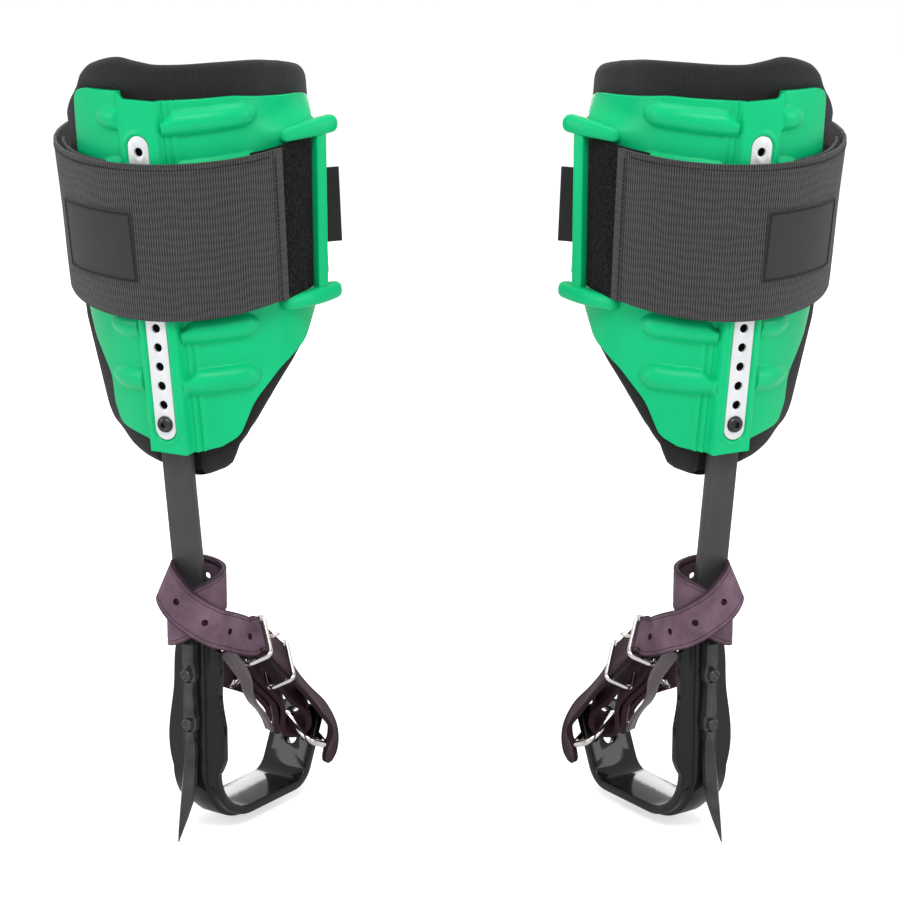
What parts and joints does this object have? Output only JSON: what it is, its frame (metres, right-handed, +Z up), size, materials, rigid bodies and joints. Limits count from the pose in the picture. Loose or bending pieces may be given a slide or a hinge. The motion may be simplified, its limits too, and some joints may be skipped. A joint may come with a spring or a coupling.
{
  "type": "tree climbing spikes",
  "caption": "Pair of tree climbing spikes: steel stirrup with bolted gaff, height-adjustable shank, padded moulded calf cuff with hook-and-loop strap, and buckled leather ankle strap.",
  "frame": {"origin": "centre of the left spike's tread top", "axes": "+Z up from the tread, +X from the left spike to the right one, +Y away from the side that the gaffs and shanks are seen on"},
  "size_m": [0.4942, 0.144, 0.501],
  "materials": {
    "black_steel": "gloss",
    "green_plastic": "semi-gloss moulded",
    "strip_metal": "satin",
    "black_screw": "black oxide",
    "pad_knit": "knit over foam",
    "pile_tape": "pile",
    "hook_tape": "hooks",
    "elastic": "ribbed weave",
    "patch": "smooth woven",
    "leather": "creased edge lines",
    "stitched_leather": "stitched",
    "nickel": "nickel plate"
  },
  "bodies": {
    "left_spike": {"left_shank": "black_steel", "left_stirrup": "black_steel", "left_gaff": "black_steel", "left_gaff_bolts": "black_steel", "left_ankle_wrap": "leather", "left_ankle_billet": "leather", "left_ankle_tail": "leather", "left_ankle_folds": "leather", "left_ankle_tab": "stitched_leather", "left_ankle_liner": "leather", "left_buckle_frame": "nickel", "left_eyelet": "nickel"},
    "left_cuff": {"left_cuff_shell": "green_plastic", "left_strap_bar": "green_plastic", "left_adjuster_strip": "strip_metal", "left_cuff_screws": "black_screw", "left_clamp_plate": "strip_metal", "left_calf_pad": "pad_knit", "left_pad_patches": "pile_tape", "left_strap_back": "elastic", "left_strap_inner": "elastic", "left_strap_panel": "pile_tape", "left_strap_tag": "patch"},
    "left_flap": {"left_strap_flap": "elastic", "left_strap_hook_tape": "hook_tape", "left_strap_patch": "patch"},
    "left_tongue": {"left_buckle_tongue": "nickel"},
    "left_keeper": {"left_strap_keeper": "nickel"},
    "left_ring": {"left_stirrup_ring": "nickel"},
    "right_spike": {"right_shank": "black_steel", "right_stirrup": "black_steel", "right_gaff": "black_steel", "right_gaff_bolts": "black_steel", "right_ankle_wrap": "leather", "right_ankle_billet": "leather", "right_ankle_tail": "leather", "right_ankle_folds": "leather", "right_ankle_tab": "stitched_leather", "right_ankle_liner": "leather", "right_buckle_frame": "nickel", "right_eyelet": "nickel"},
    "right_cuff": {"right_cuff_shell": "green_plastic", "right_strap_bar": "green_plastic", "right_adjuster_strip": "strip_metal", "right_cuff_screws": "black_screw", "right_clamp_plate": "strip_metal", "right_calf_pad": "pad_knit", "right_pad_patches": "pile_tape", "right_strap_back": "elastic", "right_strap_inner": "elastic", "right_strap_panel": "pile_tape", "right_strap_tag": "patch"},
    "right_flap": {"right_strap_flap": "elastic", "right_strap_hook_tape": "hook_tape", "right_strap_patch": "patch"},
    "right_tongue": {"right_buckle_tongue": "nickel"},
    "right_keeper": {"right_strap_keeper": "nickel"},
    "right_ring": {"right_stirrup_ring": "nickel"}
  },
  "joints": [
    {"name": "right_spike_lift", "type": "slide", "parent": "left_spike", "child": "right_spike", "axis": [0, 0, 1], "range_m": [0, 0.3]},
    {"name": "left_cuff_height", "type": "slide", "parent": "left_spike", "child": "left_cuff", "axis": [-0.0732, 0, 0.9973], "range_m": [0, 0.0366]},
    {"name": "left_flap_open", "type": "hinge", "parent": "left_cuff", "child": "left_flap", "pos_m": [-0.11227, 0.0177, 0.38127], "axis": [0.0889, 0, -0.996], "range_deg": [0, 100]},
    {"name": "left_tongue_swing", "type": "hinge", "parent": "left_spike", "child": "left_tongue", "pos_m": [-0.00122, -0.02924, 0.10517], "axis": [-0.4141, 0.8024, 0.4297], "range_deg": [0, 10]},
    {"name": "left_keeper_slide", "type": "slide", "parent": "left_spike", "child": "left_keeper", "axis": [0.4101, 0.5857, -0.6991], "range_m": [-0.006, 0.006]},
    {"name": "left_ring_swing", "type": "hinge", "parent": "left_spike", "child": "left_ring", "pos_m": [0.02744, 0.04267, 0.0345], "axis": [0.524, 0.7483, -0.4067], "range_deg": [-3, 3]},
    {"name": "right_cuff_height", "type": "slide", "parent": "right_spike", "child": "right_cuff", "axis": [0.0732, 0, 0.9973], "range_m": [0, 0.0366]},
    {"name": "right_flap_open", "type": "hinge", "parent": "right_cuff", "child": "right_flap", "pos_m": [0.37127, 0.0177, 0.38127], "axis": [0.0889, 0, 0.996], "range_deg": [0, 100]},
    {"name": "right_tongue_swing", "type": "hinge", "parent": "right_spike", "child": "right_tongue", "pos_m": [0.26022, -0.02924, 0.10517], "axis": [-0.4141, -0.8024, -0.4297], "range_deg": [0, 10]},
    {"name": "right_keeper_slide", "type": "slide", "parent": "right_spike", "child": "right_keeper", "axis": [-0.4101, 0.5857, -0.6991], "range_m": [-0.006, 0.006]},
    {"name": "right_ring_swing", "type": "hinge", "parent": "right_spike", "child": "right_ring", "pos_m": [0.23156, 0.04267, 0.0345], "axis": [0.524, -0.7483, 0.4067], "range_deg": [-3, 3]}
  ]
}
